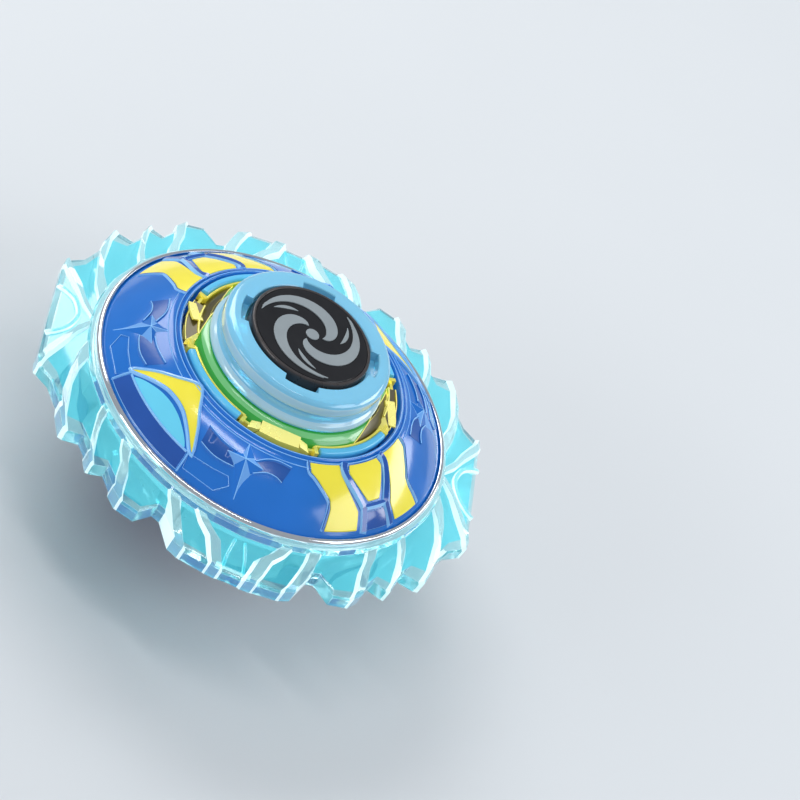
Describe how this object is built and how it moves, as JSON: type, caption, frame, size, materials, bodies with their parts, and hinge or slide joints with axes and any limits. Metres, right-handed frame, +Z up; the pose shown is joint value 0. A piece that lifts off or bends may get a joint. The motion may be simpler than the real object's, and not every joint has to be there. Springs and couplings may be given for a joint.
{
  "type": "light up spinning top",
  "caption": "Battle spinning top with a clear toothed blade ring, a blue transparent dome, a twist-in lighted core and a free-turning flat tip.",
  "frame": {"origin": "centre of the tip's flat foot, on the surface the top stands on", "axes": "+Z up along the spin axis; +X through the middle of one tooth cluster and one gold lug"},
  "size_m": [0.0646, 0.066, 0.0344],
  "materials": {
    "tip_plastic": "satin",
    "steel": "turned",
    "brass": "turned",
    "base_plastic": "satin",
    "zinc": "tumbled",
    "clear_blades": "clear glossy",
    "blue_clear": "clear glossy",
    "yellow": "satin gloss",
    "pale_blue": "translucent glossy",
    "chrome": "mirror",
    "gold_plate": "mirror plated",
    "green_clear": "translucent glossy",
    "black_gloss": "high gloss",
    "silver_print": "satin metallic",
    "white_plastic": "satin",
    "nickel": "plated",
    "board": "solder mask",
    "chip": "moulded",
    "led": "clear"
  },
  "bodies": {
    "ring": {"base_housing": "base_plastic", "tip_bush": "brass", "lock_ring": "white_plastic", "weight_ring": "zinc", "blade_ring": "clear_blades", "dome_ring": "blue_clear", "yellow_tiles": "yellow", "crescent_inserts": "yellow", "crescent_lenses": "pale_blue", "chrome_bezel": "chrome", "assembly_screws": "steel"},
    "core": {"battery_cover": "white_plastic", "cover_screws": "steel", "core_housing": "white_plastic", "lower_contacts": "nickel", "upper_contacts": "nickel", "battery_cells": "nickel", "circuit_board": "board", "control_chip": "chip", "leds": "led", "switch_housing": "chip", "switch_contacts": "brass", "switch_spring": "brass", "gold_frame": "gold_plate", "arc_segments": "pale_blue", "green_collar": "green_clear", "core_barrel": "pale_blue", "cap_ring": "pale_blue", "emblem_disc": "black_gloss", "emblem_relief": "silver_print"},
    "switch_weight": {"switch_weight": "brass"},
    "tip": {"tip": "tip_plastic", "tip_shaft": "steel", "shaft_clip": "steel"}
  },
  "joints": [
    {"name": "core_twist", "type": "hinge", "parent": "ring", "child": "core", "pos_m": [0, 0, 0.0175], "axis": [0, 0, 1], "range_deg": [0, 60]},
    {"name": "tip_spin", "type": "hinge", "parent": "ring", "child": "tip", "pos_m": [0, 0, 0.0075], "axis": [0, 0, 1], "continuous": true},
    {"name": "switch_slide", "type": "slide", "parent": "core", "child": "switch_weight", "axis": [1, 0, 0], "range_m": [0, 0.0012], "stiffness_N_per_m": 6, "deforming": ["switch_spring"]}
  ]
}
